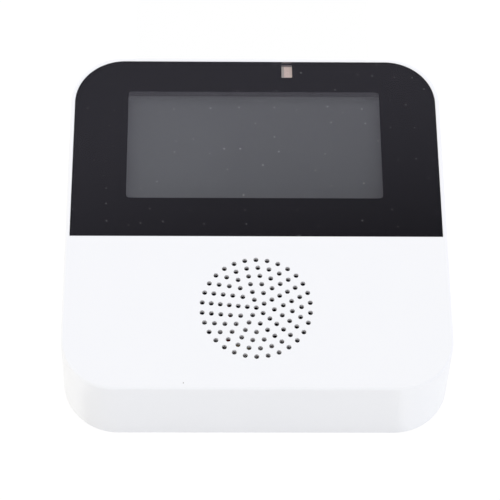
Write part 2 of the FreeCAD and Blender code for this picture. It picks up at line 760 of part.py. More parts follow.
def make_board_parts():
    """What is soldered to the top of the board outside the air chamber."""
    chip_x = f"chip_inset - {BOARD_WIDTH}/2"
    chip_y = f"{HOLDER_LOW} - chip_drop"
    chip = block("main_chip", chip_x, chip_y, BOARD_TOP, "chip_width", "chip_width", "chip_height")
    round_edges(chip, "chip_edge", at_height("chip_height"))
    radio_x = f"{BOARD_WIDTH}/2 - radio_inset"
    radio_y = f"{HOLDER_LOW} - radio_drop"
    block("radio_board", radio_x, radio_y, BOARD_TOP, "radio_width", "radio_length", "radio_thickness")
    radio_top = f"{BOARD_TOP} + radio_thickness"
    shield_y = f"{radio_y} - shield_offset"
    block("radio_chip", radio_x, shield_y, radio_top, "radio_chip_width", "radio_chip_width", "chip_height")
    shield = block("radio_shield", radio_x, shield_y, radio_top,
                   "shield_width", "shield_length", "shield_height", "shield_wall")
    inside = new_sketch(shield)
    centred(inside, "0", "0", "shield_width - 2*shield_wall", "shield_length - 2*shield_wall")
    pocket(shield, inside, "shield_height - shield_wall", upwards=True)
    can_x = f"capacitor_inset - {BOARD_WIDTH}/2"
    can = new_body("capacitor", can_x, f"{HOLDER_LOW} - capacitor_drop", BOARD_TOP)
    circles_pad(can, [("0", "0")], "capacitor_radius", "0", "capacitor_height")
    round_edges(can, "capacitor_round", at_height("capacitor_height"))
    block("light_sensor", "eye_x", f"({STEM_LOW} + {STEM_HIGH})/2", BOARD_TOP,
          "light_sensor_width", "light_sensor_length", "light_sensor_height")


def make_air_chamber():
    """The foam ring, air sensor, buzzer and status lamp behind the grille."""
    foam = new_body("chamber_foam", y=GRILLE_Y, z=BOARD_TOP)
    ring = new_sketch(foam)
    circle(ring, "0", "0", "chamber_radius + foam_lap")
    circle(ring, "0", "0", "chamber_radius - chamber_wall - foam_lap")
    pad(foam, ring, "foam_thickness")

    sensor = block("air_sensor", "air_sensor_x", AIR_SENSOR_Y, BOARD_TOP,
                   "air_sensor_width", "air_sensor_width", "air_sensor_height")
    circles_pocket(sensor, [("0", "0")], "air_sensor_mouth", "air_sensor_height", "air_sensor_mouth_depth")

    buzzer_y = f"{GRILLE_Y} + buzzer_rise"
    case = new_body("buzzer_case", "buzzer_x", buzzer_y, BOARD_TOP)
    inner = "(buzzer_radius - buzzer_wall)"
    roof = "(buzzer_height - buzzer_wall)"
    revolve(case, [(f"{inner} - disc_seat", "0"), ("buzzer_radius", "0"), ("buzzer_radius", "buzzer_height"),
                   ("buzzer_mouth", "buzzer_height"), ("buzzer_mouth", roof), (inner, roof),
                   (inner, "disc_level"), (f"{inner} - disc_seat", "disc_level")])
    disc = new_body("buzzer_disc", "buzzer_x", buzzer_y, f"{BOARD_TOP} + disc_level")
    circles_pad(disc, [("0", "0")], f"{inner} - button_fit", "0", "disc_thickness")
    lamp = block("status_led", "status_led_x", f"{GRILLE_Y} + status_led_rise", BOARD_TOP,
                 "status_led_length", "status_led_width", "status_led_height")
    round_edges(lamp, "chip_edge", at_height("status_led_height"))


def make_chamber_wire():
    """The insulated wire in the air chamber: an arc that stands on the board at both ends."""
    bend = "((wire_span*wire_span/4 + wire_rise*wire_rise)/(2*wire_rise))"
    wire = new_body("chamber_wire", "wire_x", f"{GRILLE_Y} - wire_drop", f"{BOARD_TOP} + wire_rise - {bend}")
    section = new_sketch(wire, plane="XZ_Plane")
    circle(section, "0", bend, "wire_radius")
    arc = wire.newObject("PartDesign::Revolution", wire.Name + "_bent")
    arc.Profile = section
    arc.ReferenceAxis = (section, ["H_Axis"])
    arc.Midplane = True
    arc.Angle = 180
    doc.recompute()
    below = new_sketch(wire, f"{bend} - wire_rise")
    centred(below, "0", "0", "4*wire_radius", f"2*{bend} + 4*wire_radius")
    pocket(wire, below, f"{bend} - wire_rise + {OVERCUT}")


# Back

def make_back_plate():
    """The plate in the back: door slot with rails, screw tubes, button guide, air and hanging slots."""
    plate = new_body("back_plate")
    outline = new_sketch(plate)
    width = f"{INNER_WIDTH} - 2*plate_fit"
    centred(outline, "0", "0", width, width, f"{INNER_CORNER} - plate_fit")
    pad(plate, outline, "plate_thickness", draft="side_draft")
    circles_pad(plate, BOSSES, "tube_radius", "0", "boss_seat")
    circles_pocket(plate, BOSSES, "case_head_radius + screw_fit", "0", "case_head_seat", upwards=True)
    circles_pocket(plate, BOSSES, "case_screw_radius + screw_fit", "case_head_seat",
                   "boss_seat - case_head_seat", upwards=True)

    past = f"{BASE_WIDTH}/2 + {OVERCUT}"
    slot = new_sketch(plate)
    half = f"({DOOR_WIDTH}/2 + door_fit)"
    rectangle(slot, f"-{half}", f"{DOOR_START} - door_fit", half, past)
    pocket(plate, slot, f"{DOOR_TOP} + door_fit", upwards=True)
    rails = new_sketch(plate, "rail_level - door_fit")
    half = f"({RAIL_WIDTH}/2 + door_fit)"
    rectangle(rails, f"-{half}", f"{DOOR_START} - door_fit", half, past)
    pocket(plate, rails, "rail_height + 2*door_fit", upwards=True)
    bay = new_sketch(plate)
    centred(bay, "0", TRAY_Y, TRAY_LENGTH, TRAY_SPAN)
    pocket(plate, bay, "plate_thickness", upwards=True)

    tube = new_sketch(plate, "plate_thickness")
    circle(tube, "0", "button_y", "flange_radius + flange_fit + tube_wall")
    circle(tube, "0", "button_y", "flange_radius + flange_fit")
    pad(plate, tube, "tube_height")
    hole = "button_radius + button_fit"
    circles_pocket(plate, [("0", "button_y")], hole, "0", "plate_thickness", upwards=True)

    vent = new_sketch(plate)
    row = "(vent_count - 1)*vent_pitch"
    corner = "(vent_width - end_flat)/2"
    centred(vent, f"-{row}/2", "vent_y", "vent_width", "vent_length", corner)
    cut = pocket(plate, vent, "plate_thickness", upwards=True)
    repeat_along(plate, cut, vent, "H_Axis", row, "vent_count")

    hangers = [(f"{sign}*hanger_spacing/2", "hanger_y") for sign in (-1, 1)]
    circles_pocket(plate, hangers, "hanger_entry_radius", "0", "plate_thickness", upwards=True)
    slots = new_sketch(plate)
    for x, y in hangers:
        corner = "hanger_slot_radius - end_flat/2"
        rectangle(slots, f"{x} - hanger_slot_radius", y, f"{x} + hanger_slot_radius",
                  f"{y} + hanger_rise", ("0", "0", corner, corner))
    pocket(plate, slots, "plate_thickness", upwards=True)


def make_battery_door():
    """The sliding door: a panel between two rails, an end that closes the top wall, and a grip."""
    door = new_body("battery_door", z="door_recess")
    panel = new_sketch(door)
    rectangle(panel, f"-{DOOR_WIDTH}/2", DOOR_START, f"{DOOR_WIDTH}/2", DOOR_END)
    pad(door, panel, "door_thickness")
    rails = new_sketch(door, "rail_level - door_recess")
    rectangle(rails, f"-{RAIL_WIDTH}/2", DOOR_START, f"{RAIL_WIDTH}/2", DOOR_END)
    pad(door, rails, "rail_height")
    end = new_sketch(door)
    rectangle(end, f"-{RAIL_WIDTH}/2", f"{INNER_WIDTH}/2 + door_fit", f"{RAIL_WIDTH}/2", DOOR_END)
    pad(door, end, "door_thickness")
    groove = new_sketch(door)
    centred(groove, "0", "grip_start", "grip_width", "grip_groove")
    cut = pocket(door, groove, "grip_depth", upwards=True)
    repeat_along(door, cut, groove, "V_Axis", "(grip_count - 1)*grip_pitch", "grip_count")


def make_battery_tray():
    """The tray: four walls and a roof over the cells, with slots for the two soldered tabs."""
    tray = new_body("battery_tray", y=TRAY_Y, z="plate_thickness")
    outline = new_sketch(tray)
    grow = "2*tray_wall"
    centred(outline, "0", "0", f"{TRAY_LENGTH} + {grow}", f"{TRAY_SPAN} + {grow}", "tray_wall")
    pad(tray, outline, f"{TRAY_TOP} - plate_thickness")
    inside = new_sketch(tray)
    centred(inside, "0", "0", TRAY_LENGTH, TRAY_SPAN)
    pocket(tray, inside, f"{TRAY_ROOF} - plate_thickness", upwards=True)
    slots = new_sketch(tray, f"{TRAY_TOP} - plate_thickness")
    for side, row in ((-1, -1), (1, 1)):
        tab_slot(slots, side, f"{row}*cell_pitch")
    pocket(tray, slots, "tray_roof")


def make_cell(number, row):
    """One dry cell along X; its neighbours point the other way."""
    cell = new_body(f"battery_cell_{number}", y=cell_y(row), z=CELL_AXIS)
    if number % 2 == 0:
        cell.Placement.Rotation = FreeCAD.Rotation(FreeCAD.Vector(0, 0, 1), 180)
    can = new_sketch(cell, "-cell_length/2", plane="YZ_Plane")
    circle(can, "0", "0", "cell_diameter/2")
    pad(cell, can, "cell_length - nub_length")
    round_edges(cell, "cell_edge", lambda edge: True if len(edge.Vertexes) == 1 else False)
    nub = new_sketch(cell, "cell_length/2 - nub_length", plane="YZ_Plane")
    circle(nub, "0", "0", "nub_radius")
    pad(cell, nub, "nub_length")


def make_contact(name, side, rows, tab):
    """A contact plate against the tray's end wall, with a bowed leaf for each cell that it touches."""
    middle = f"(({rows[0]}) + ({rows[-1]}))/2*cell_pitch"
    contact = new_body(name, y=f"{TRAY_Y} + {middle}")
    span = f"{rows[-1] - rows[0]}*cell_pitch"
    plate = new_sketch(contact, f"{CELL_AXIS} - contact_height/2")
    centred(plate, tab_x(side), "0", "contact_thickness", f"contact_width + {span}")
    pad(contact, plate, "contact_height")
    bow = f"({TRAY_LENGTH}/2 - 2*leaf_gap - contact_thickness - cell_length/2)"
    radius = f"(leaf_span*leaf_span/4 + {bow}*{bow})/(2*{bow})"
    centre = f"{side}*(cell_length/2 + leaf_gap + {radius})"
    for row in rows:
        leaf = new_sketch(contact, f"-(({row})*cell_pitch - {middle}) - leaf_width/2", plane="XZ_Plane")
        add_leaf(leaf, centre, radius, tab_x(side), side)
        pad(contact, leaf, "leaf_width")
    if tab:
        drawing = new_sketch(contact, CELL_AXIS)
        centred(drawing, tab_x(side), "0", "contact_thickness", "tab_width")
        pad(contact, drawing, f"{BOARD_TOP} - {CELL_AXIS} - leaf_gap")


def add_leaf(drawing, centre, radius, root, side):
    """A bowed strip: the part of a ring about the centre that stands off the plate at the root."""
    x, y, r = value(centre), value(CELL_AXIS), value(radius)
    inner = r - value("contact_thickness")
    chord = value(root) - x
    up = FreeCAD.Vector(0, 0, 1)
    middle = FreeCAD.Vector(x, y, 0)
    ends = []
    for size in (r, inner):
        rise = (size * size - chord * chord) ** 0.5
        low = middle + FreeCAD.Vector(chord, -rise, 0)
        high = middle + FreeCAD.Vector(chord, rise, 0)
        ends.append((low, middle + FreeCAD.Vector(-side * size, 0, 0), high))
    arcs = [drawing.addGeometry(Part.Arc(*points)) for points in ends]
    lines = [drawing.addGeometry(Part.LineSegment(ends[0][i], ends[1][i])) for i in (0, 2)]
    first, last = (2, 1) if side > 0 else (1, 2)
    for line, point in zip(lines, (first, last)):
        drawing.addConstraint(Sketcher.Constraint("Coincident", line, 1, arcs[0], point))
        drawing.addConstraint(Sketcher.Constraint("Coincident", line, 2, arcs[1], point))
        hold(drawing, "DistanceX", line, 1, root)
        drawing.addConstraint(Sketcher.Constraint("Vertical", line))
    for arc, size in zip(arcs, (radius, f"{radius} - contact_thickness")):
        hold(drawing, "DistanceX", arc, 3, centre)
        hold(drawing, "DistanceY", arc, 3, CELL_AXIS)
        index = drawing.addConstraint(Sketcher.Constraint("Radius", arc, value(size)))
        bind(drawing, f"Constraints[{index}]", size)


# Button and switch

def make_button():
    """The pairing button: a dished cap, a flange that keeps it in, and a stem up to the switch."""
    button = new_body("pairing_button", y="button_y", z="button_level")
    flange = "plate_thickness + flange_gap - button_level"
    revolve(button, [("0", "button_dish"), ("button_radius", "0"), ("button_radius", flange),
                     ("flange_radius", flange), ("flange_radius", f"{flange} + flange_thickness"),
                     ("stem_radius", f"{flange} + flange_thickness"),
                     ("stem_radius", f"{SWITCH_BACK} - plunger_reach - button_level"),
                     ("0", f"{SWITCH_BACK} - plunger_reach - button_level")])

    plunger = new_body("switch_plunger", y="button_y", z=f"{SWITCH_BACK} - plunger_reach")
    circles_pad(plunger, [("0", "0")], "plunger_radius", "0", "plunger_reach + plunger_depth")

    switch = block("switch_case", "0", "button_y", SWITCH_BACK,
                   "switch_width", "switch_width", "switch_height")
    circles_pocket(switch, [("0", "0")], "dome_radius + button_fit", "switch_height", "switch_room")
    hole = "plunger_radius + button_fit"
    circles_pocket(switch, [("0", "0")], hole, "0", "switch_height - switch_room", upwards=True)
    dome = new_body("switch_dome", y="button_y", z=f"{BOARD_BACK} - dome_thickness")
    bulge = "(switch_height - plunger_depth - button_travel - 2*dome_thickness - leaf_gap)"
    shoulder = f"{bulge}*dome_shoulder"
    revolve(dome, [("0", f"-{bulge}"), ("dome_radius/2", f"-{shoulder}"), ("dome_radius", "0"),
                   ("dome_radius", "dome_thickness"), ("dome_radius/2", f"dome_thickness - {shoulder}"),
                   ("0", f"dome_thickness - {bulge}")])


# Screws

def make_screws(name, places, seat, head_radius, head_height, shank_radius, shank_length):
    """Cross-head screws standing head down; the head's top meets the seat."""
    screws = new_body(name, z=seat, group=True)
    circles_pad(screws, places, head_radius, f"-{head_height}", head_height)
    circles_pad(screws, places, shank_radius, "0", shank_length)
    for width, length in (("cross_length", "cross_width"), ("cross_width", "cross_length")):
        cross = new_sketch(screws, f"-{head_height}")
        for x, y in places:
            centred(cross, x, y, width, length)
        pocket(screws, cross, "cross_depth", upwards=True)


make_front_cover()
make_lens_stack()
make_light_pipe()
make_display()
make_display_holder()
make_main_board()
make_board_parts()
make_air_chamber()
make_chamber_wire()
make_back_plate()
make_battery_door()
make_battery_tray()
for number in range(1, int(value("cell_count")) + 1):
    make_cell(number, f"({number} - (cell_count + 1)/2)")
make_contact("contact_end_left", -1, [-1], tab=True)
make_contact("contact_link_left", -1, [0, 1], tab=False)
make_contact("contact_link_right", 1, [-1, 0], tab=False)
make_contact("contact_end_right", 1, [1], tab=True)
make_button()
make_screws("case_screws", BOSSES, "case_head_seat", "case_head_radius", "case_head_height",
            "case_screw_radius", "case_screw_length")
make_screws("board_screws", POSTS, BOARD_BACK, "board_head_radius", "board_head_height",
            "board_screw_radius", "board_screw_length")
doc.recompute()

# Nothing is written unless every feature worked
faults = [thing.Label for thing in doc.Objects if {"Invalid", "Error"} & set(thing.State)]
if faults:
    raise ValueError(f"failed features: {faults}")
bodies = [thing for thing in doc.Objects if thing.TypeId == "PartDesign::Body"]
for body in bodies:
    if body.Shape.isNull() or not body.Shape.isValid() or not body.Shape.Solids:
        raise ValueError(f"{body.Label} has no valid solid")
os.makedirs("parts", exist_ok=True)
for body in bodies:
    body.Shape.exportStep(f"parts/{body.Label}.step")
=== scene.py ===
import json
import math

import bmesh
import bpy
from mathutils import Matrix, Vector


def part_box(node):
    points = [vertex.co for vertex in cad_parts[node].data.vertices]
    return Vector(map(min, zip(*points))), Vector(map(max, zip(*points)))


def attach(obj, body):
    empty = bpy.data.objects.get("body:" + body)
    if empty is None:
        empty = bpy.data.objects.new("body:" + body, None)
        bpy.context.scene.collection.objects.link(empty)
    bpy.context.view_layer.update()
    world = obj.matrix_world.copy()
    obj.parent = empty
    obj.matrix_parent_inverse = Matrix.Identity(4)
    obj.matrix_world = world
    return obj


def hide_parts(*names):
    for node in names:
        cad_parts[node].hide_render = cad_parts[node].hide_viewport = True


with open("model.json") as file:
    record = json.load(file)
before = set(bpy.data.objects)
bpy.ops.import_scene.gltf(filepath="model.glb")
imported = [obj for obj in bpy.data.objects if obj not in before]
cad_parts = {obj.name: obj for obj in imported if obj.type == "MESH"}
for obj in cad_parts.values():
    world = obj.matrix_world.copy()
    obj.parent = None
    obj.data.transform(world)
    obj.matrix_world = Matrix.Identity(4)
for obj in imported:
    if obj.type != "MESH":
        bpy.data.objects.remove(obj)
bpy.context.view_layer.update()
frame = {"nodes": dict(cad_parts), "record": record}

# A square room thermo-hygrometer that lies on its back: +X to its right, +Y to its top, +Z out of its face.
# Sizes and places are millimetres unless a comment names another unit. MM turns them into metres.
MM = 0.001

# Face and lens
FACE = 22.0
LENS_SIDE, LENS_LOW, LENS_BACK = 42.0, -5.17, 20.5
LENS_CORNER, LENS_FOOT_CORNER, LENS_POLISH = 11.4, 0.25, 0.05
LENS_LIFT = 0.01                        # overlap of the lens with the print behind it
FACE_SPECK, FACE_SPECK_RADIUS = (-16.1, -41.6), 0.16

# Air chamber behind the grille
CHAMBER = (0.0, -23.25)
CHAMBER_ZONE = (15.2, 16.0)             # radii between which the painted shade of the hole walls and of the chamber fades out
SINK_RADIUS, SINK_WIDTH, SINK_DEPTH = 16.3, 1.1, 0.012
HOLE_WALL = (FACE - 1.1, FACE - 0.02)   # heights between which the painted shade on a hole's wall fades, so that the wall grows as pale as the face
SKIN_BACK = (20.2, 20.8)                # heights that tell the chamber's wall, which takes painted shade, from the skin
CHAMBER_TURN = 6.0                      # distance over which its wall turns from its plain lower half to its upper half, painted dark grey as shade

# Display, sensor window, board and cells
FILM_ACROSS, FILM_UP = (-30.0, 30.0), (5.0, 34.0)
FILM_TOP_PAINTED_LIGHT = (32.32, 34.37)             # heights between which painted light makes the film paler below the window's top, where the wall above shades it
# The third of these holds the heights over which painted shade darkens the sensor window's top, under the
# print's edge.
PIPE_LEFT, PIPE_RIGHT, PIPE_TOP_PAINTED_SHADE = (6.75, 6.95), (7.9, 8.5), (41.15, 41.5)
BOARD_SURFACE = (14.0, 14.2)
# Painted light: these place the white pool on the board in the lower air chamber, where light through the
# grille falls.
PAINTED_LIGHT_MIDDLE, PAINTED_LIGHT_HALF = -0.5, (7.5, 10.0)
PAINTED_LIGHT_FOOT, PAINTED_LIGHT_HEAD = (-35.25, -33.25), (-25.25, -20.25)
BAND_START, BAND_END = (13.0, 13.1), (16.4, 16.5)
SLEEVE_START, SLEEVE_END = (-21.7, -21.6), (20.9, 21.0)

# Floor, with a hole for the back and for the open door, and a strip in front that is dim in gloss
FLOOR_LEVEL, FLOOR_REACH, FLOOR_GLOW = -0.02, 4000.0, 0.88
FOOT, FOOT_CORNER = 43.61, 12.6
DOOR_TRAVEL, DOOR_ROOM = 34.0, 2.0
STRIP_LEFT, STRIP_RIGHT = (-49.0, -43.0), (32.0, 34.5)
STRIP_NEAR, STRIP_FAR, STRIP_DIM = (-90.0, -75.0), (-43.0, -40.0), 0.62

# Light: even surroundings, a little stronger from behind and from both sides, and one soft lamp
AMBIENT = 0.97
BACK_LIGHT = 0.03
LEFT_LIGHT = 0.16
RIGHT_LIGHT = 0.20
CEILING = (0.1206, -0.0615, 1.0)        # way to the middle of the dark part of what the lens mirrors
CEILING_EDGE, CEILING_FADE = (0.792, 0.88), (0.40, 0.78)    # cosines from that way
LAMP_PLACE, LAMP_SIZE, LAMP_WATTS = (-0.2, 0.9, 1.2), 1.6, 1.6    # metres

# Camera, fitted to the photograph
PHOTO_PIXELS, FOCAL_PIXELS, SENSOR = 500.0, 2022.36, 36.0
CAMERA_PLACE = (-9.5616, -227.7384, 418.6045)
CAMERA_TURNS = ((-0.0029, "Z"), (0.0178, "Y"), (-0.5045, "X"))    # radians


# Materials

class Maker:
    """One material's node tree, with short calls for its nodes."""

    def __init__(self, name, world=None):
        self.material = world or bpy.data.materials.new(name)
        self.material.use_nodes = True
        self.tree = self.material.node_tree
        self.tree.nodes.clear()
        self.output = self.tree.nodes.new("ShaderNodeOutputWorld" if world else "ShaderNodeOutputMaterial")
        self.place = None if world else self.add("ShaderNodeTexCoord").outputs["Object"]

    def add(self, kind, settings=(), **inputs):
        """A node; an input's value is a number, a colour or another node's output."""
        node = self.tree.nodes.new(kind)
        for key, setting in dict(settings).items():
            setattr(node, key, setting)
        for key, given in inputs.items():
            socket = node.inputs[int(key[1:])] if key[0] == "_" else node.inputs[key.replace("_", " ")]
            if isinstance(given, bpy.types.NodeSocket):
                self.tree.links.new(given, socket)
            else:
                socket.default_value = given
        return node

    def maths(self, kind, first, second=0.0, third=0.0):
        return self.add("ShaderNodeMath", {"operation": kind}, _0=first, _1=second, _2=third).outputs[0]

    def times(self, first, *others):
        """The product of values."""
        for other in others:
            first = self.maths("MULTIPLY", first, other)
        return first

    def axes(self):
        """The place's x, y and z."""
        return self.add("ShaderNodeSeparateXYZ", _0=self.place).outputs

    def away(self, x_mm, y_mm):
        """Distance from the upright line at x, y."""
        x, y, _ = self.axes()
        dx = self.maths("SUBTRACT", x, x_mm * MM)
        dy = self.maths("SUBTRACT", y, y_mm * MM)
        return self.maths("SQRT", self.maths("ADD", self.times(dx, dx), self.times(dy, dy)))

    def scaled(self, x, y, z):
        """The place on the object, stretched by a factor along each axis."""
        return self.add("ShaderNodeVectorMath", {"operation": "MULTIPLY"},
                        _0=self.place, _1=(x, y, z)).outputs[0]

    def noise(self, size_mm, detail=2.0, rough=0.5, vector=None):
        """Noise from 0 to 1 whose grains are about as large as the size."""
        return self.add("ShaderNodeTexNoise", Vector=vector or self.place, Scale=1.0 / (size_mm * MM),
                        Detail=detail, Roughness=rough).outputs["Fac"]

    def cells(self, size_mm, feature="F1", vector=None):
        """Distance within cells about as large as the size."""
        return self.add("ShaderNodeTexVoronoi", {"feature": feature}, Vector=vector or self.place,
                        Scale=1.0 / (size_mm * MM)).outputs["Distance"]

    def between(self, fac, low, high, to_low=0.0, to_high=1.0, smooth=True):
        """Maps a value from one span to another, clamped."""
        kind = "SMOOTHSTEP" if smooth else "LINEAR"
        return self.add("ShaderNodeMapRange", {"interpolation_type": kind, "clamp": True},
                        _0=fac, _1=low, _2=high, _3=to_low, _4=to_high).outputs[0]

    def rise(self, length, span, to_low=0.0, to_high=1.0, smooth=True):
        """Grows from 0 to 1 while a length goes through the span in millimetres."""
        return self.between(length, span[0] * MM, span[1] * MM, to_low, to_high, smooth)

    def fall(self, length, span, smooth=True):
        """Drops from 1 to 0 while a length goes through the span in millimetres."""
        return self.rise(length, span, 1.0, 0.0, smooth)

    def tint(self, fac, first, second):
        """A colour between two others."""
        node = self.add("ShaderNodeMix", {"data_type": "RGBA"})
        for index, given in ((0, fac), (6, first), (7, second)):
            if isinstance(given, bpy.types.NodeSocket):
                self.tree.links.new(given, node.inputs[index])
            else:
                node.inputs[index].default_value = given if index == 0 else (*given[:3], 1.0)
        return node.outputs[2]

    def bump(self, height, depth_mm, normal=None):
        node = self.add("ShaderNodeBump", Height=height, Distance=depth_mm * MM, Strength=1.0)
        if normal:
            self.tree.links.new(normal, node.inputs["Normal"])
        return node.outputs["Normal"]

    def dust(self, pitch_mm, radius_mm, share):
        """1 inside small round specks of many sizes on a face that looks up, one in a share of the cells."""
        cells = self.add("ShaderNodeTexVoronoi", {"feature": "F1", "voronoi_dimensions": "2D"},
                         Vector=self.place, Scale=1.0 / (pitch_mm * MM))
        chance = self.add("ShaderNodeSeparateColor", Color=cells.outputs["Color"])
        radius = radius_mm / pitch_mm
        size = self.maths("MULTIPLY_ADD", chance.outputs[1], 0.9 * radius, 0.4 * radius)
        disc = self.between(cells.outputs["Distance"], self.times(size, 0.5), size, 1.0, 0.0)
        return self.times(disc, self.maths("LESS_THAN", chance.outputs[0], share))

    def finish(self, **inputs):
        """The one surface shader, linked to the output."""
        shader = self.add("ShaderNodeBsdfPrincipled")
        for key, given in inputs.items():
            socket = shader.inputs[key.replace("_", " ")]
            if isinstance(given, bpy.types.NodeSocket):
                self.tree.links.new(given, socket)
            elif socket.type == "RGBA":
                socket.default_value = (*given[:3], 1.0)
            else:
                socket.default_value = given
        self.tree.links.new(shader.outputs[0], self.output.inputs[0])
        return self.material


def moulded(name, colour, shade, rough):
    """Moulded plastic: a fine eroded skin, and slow changes of tone and gloss."""
    m = Maker(name)
    base = m.tint(m.noise(14.0, 3.0), colour, shade)
    gloss = m.between(m.noise(5.0, 4.0), 0.3, 0.7, rough - 0.04, rough + 0.04)
    return m, base, gloss, m.bump(m.noise(0.12, 3.0, 0.6), 0.004)


def make_black_moulding():
    """Black moulded plastic."""
    m, base, gloss, normal = moulded("black_moulding", (0.02, 0.02, 0.021), (0.026, 0.026, 0.027), 0.45)
    return m.finish(Base_Color=base, Roughness=gloss, Normal=normal)


def make_white_shell(name, front=False):
    """White moulded plastic. The front also has painted shade on its hole walls and on the upper inside wall
    of its air chamber, a sink mark and a speck.
    """
    m, base, gloss, normal = moulded(name, (0.905, 0.912, 0.945), (0.893, 0.901, 0.936), 0.33)
    if front:
        _, y, z = m.axes()
        reach = m.away(*CHAMBER)
        ring = m.fall(m.maths("ABSOLUTE", m.maths("SUBTRACT", reach, SINK_RADIUS * MM)), (0.0, SINK_WIDTH))
        normal = m.bump(m.times(ring, -1.0), SINK_DEPTH, normal)
        near = m.fall(reach, CHAMBER_ZONE)
        # Painted shade: hole walls near the chamber grow darker deeper below the face.
        base = m.tint(m.times(near, m.fall(z, HOLE_WALL, smooth=False)), base, (0.68, 0.65, 0.64))
        # Painted shade: the chamber's upper inside wall is dark grey where little light reaches it.
        upper = m.rise(y, (CHAMBER[1] - CHAMBER_TURN, CHAMBER[1] + CHAMBER_TURN))
        base = m.tint(m.times(near, m.fall(z, SKIN_BACK), upper), base, (0.10, 0.10, 0.125))
        speck = m.fall(m.away(*FACE_SPECK), (0.6 * FACE_SPECK_RADIUS, FACE_SPECK_RADIUS))
        base = m.tint(speck, base, (0.32, 0.31, 0.30))
    return m.finish(Base_Color=base, Roughness=gloss, Normal=normal, Specular_IOR_Level=0.5)


def make_clear_lens():
    """Clear plastic with a thin film of touch marks and a few matt specks."""
    m = Maker("clear_lens")
    dust = m.between(m.cells(3.1), 0.008, 0.016, 1.0, 0.0)
    rare = m.between(m.noise(7.0, 2.0), 0.55, 0.6)
    film = m.between(m.noise(18.0, 4.0), 0.3, 0.8, 0.0, 0.03)
    rough = m.maths("ADD", film, m.times(dust, rare, 0.6))
    return m.finish(Base_Color=(1.0, 1.0, 1.0), Roughness=rough, IOR=1.49, Transmission_Weight=1.0)


def make_black_print():
    """Matt black print with a few pale specks."""
    m = Maker("black_print")
    base = m.tint(m.noise(0.25, 2.0), (0.0035, 0.0033, 0.0042), (0.005, 0.0047, 0.006))
    base = m.tint(m.dust(4.4, 0.24, 0.55), base, (0.092, 0.092, 0.096))
    return m.finish(Base_Color=base, Roughness=0.7, Specular_IOR_Level=0.0)


def make_foam(name, colour):
    """Closed-cell foam."""
    m = Maker(name)
    pores = m.cells(0.22)
    base = m.tint(m.between(pores, 0.1, 0.7), tuple(0.6 * c for c in colour), colour)
    return m.finish(Base_Color=base, Roughness=0.95, Normal=m.bump(pores, 0.05), Specular_IOR_Level=0.2)


def make_display_film():
    """The switched-off display: a grey film with pale specks, lighter at its upper left, and with painted
    light along its top where the wall above shades it.
    """
    m = Maker("display_film")
    x, y, _ = m.axes()
    across = m.rise(x, FILM_ACROSS, smooth=False)
    up = m.rise(y, FILM_UP, smooth=False)
    fade = m.maths("ADD", m.times(across, 0.6), m.times(m.maths("SUBTRACT", 1.0, up), 0.4))
    first, second = (0.127, 0.137, 0.145), (0.087, 0.092, 0.098)
    base = m.tint(m.maths("POWER", fade, 1.7), first, second)
    base = m.tint(m.times(m.between(m.noise(22.0, 2.0), 0.3, 0.7), 0.3), base, second)
    # Painted light: paler film just below the window's top, against the shade of the wall above.
    base = m.tint(m.rise(y, FILM_TOP_PAINTED_LIGHT, 0.0, 0.75), base, (0.172, 0.180, 0.190))
    base = m.tint(m.dust(4.0, 0.26, 0.5), base, (0.255, 0.255, 0.262))
    return m.finish(Base_Color=base, Roughness=0.3, Normal=m.bump(m.noise(0.08, 2.0), 0.0015),
                    Specular_IOR_Level=0.1)


def make_glass():
    """Faintly green glass of the display's plates."""
    m = Maker("display_glass")
    rough = m.between(m.noise(8.0, 3.0), 0.3, 0.7, 0.02, 0.06)
    return m.finish(Base_Color=(0.93, 0.97, 0.95), Roughness=rough, IOR=1.52, Transmission_Weight=0.9)


def make_guide(name, first, second):
    """Milky plastic that carries light."""
    m = Maker(name)
    base = m.tint(m.noise(2.5, 3.0), first, second)
    return m.finish(Base_Color=base, Roughness=m.between(m.noise(1.2), 0.3, 0.7, 0.3, 0.4),
                    Subsurface_Weight=0.2, Subsurface_Scale=0.5 * MM, IOR=1.49)


def make_sensor_window():
    """Milky end of the light pipe: pinkish, greyer along its left, with painted shade towards its top under
    the print's edge.
    """
    m = Maker("sensor_window")
    x, y, _ = m.axes()
    cloud = m.noise(0.5, 3.0)
    base = m.tint(m.between(cloud, 0.35, 0.65), (0.97, 0.76, 0.69), (0.90, 0.70, 0.62))
    base = m.tint(m.rise(x, PIPE_RIGHT), base, (0.86, 0.68, 0.59))
    base = m.tint(m.fall(x, PIPE_LEFT), base, (0.60, 0.52, 0.47))
    # Painted shade: darker towards the top, under the print's edge.
    base = m.tint(m.rise(y, PIPE_TOP_PAINTED_SHADE, 0.0, 0.85), base, (0.16, 0.12, 0.12))
    return m.finish(Base_Color=base, Roughness=0.4, Normal=m.bump(cloud, 0.01))


def make_sheet():
    """White reflecting sheet."""
    m = Maker("white_sheet")
    base = m.tint(m.noise(0.4, 3.0), (0.86, 0.86, 0.85), (0.80, 0.80, 0.79))
    return m.finish(Base_Color=base, Roughness=0.6, Normal=m.bump(m.noise(0.15), 0.006))


def make_strip():
    """Rubber strip with thin conducting layers across it."""
    m = Maker("strip_rubber")
    x, _, _ = m.axes()
    layer = m.between(m.maths("SINE", m.times(x, 2 * math.pi / (0.18 * MM))), -0.2, 0.2)
    base = m.tint(layer, (0.02, 0.02, 0.021), (0.55, 0.38, 0.36))
    return m.finish(Base_Color=base, Roughness=0.6)


def make_resin():
    """Moulded resin body of a small component, with fine glass grain."""
    m = Maker("sensor_resin")
    grain = m.noise(0.12, 3.0)
    base = m.tint(grain, (0.10, 0.10, 0.105), (0.14, 0.14, 0.145))
    return m.finish(Base_Color=base, Roughness=m.between(grain, 0.3, 0.7, 0.42, 0.6),
                    Normal=m.bump(grain, 0.006))


def make_insulation():
    """Red insulation of a thin wire."""
    m = Maker("red_insulation")
    base = m.tint(m.noise(0.6, 2.0), (0.42, 0.035, 0.03), (0.34, 0.028, 0.026))
    return m.finish(Base_Color=base, Roughness=0.42, Normal=m.bump(m.noise(0.15), 0.004))


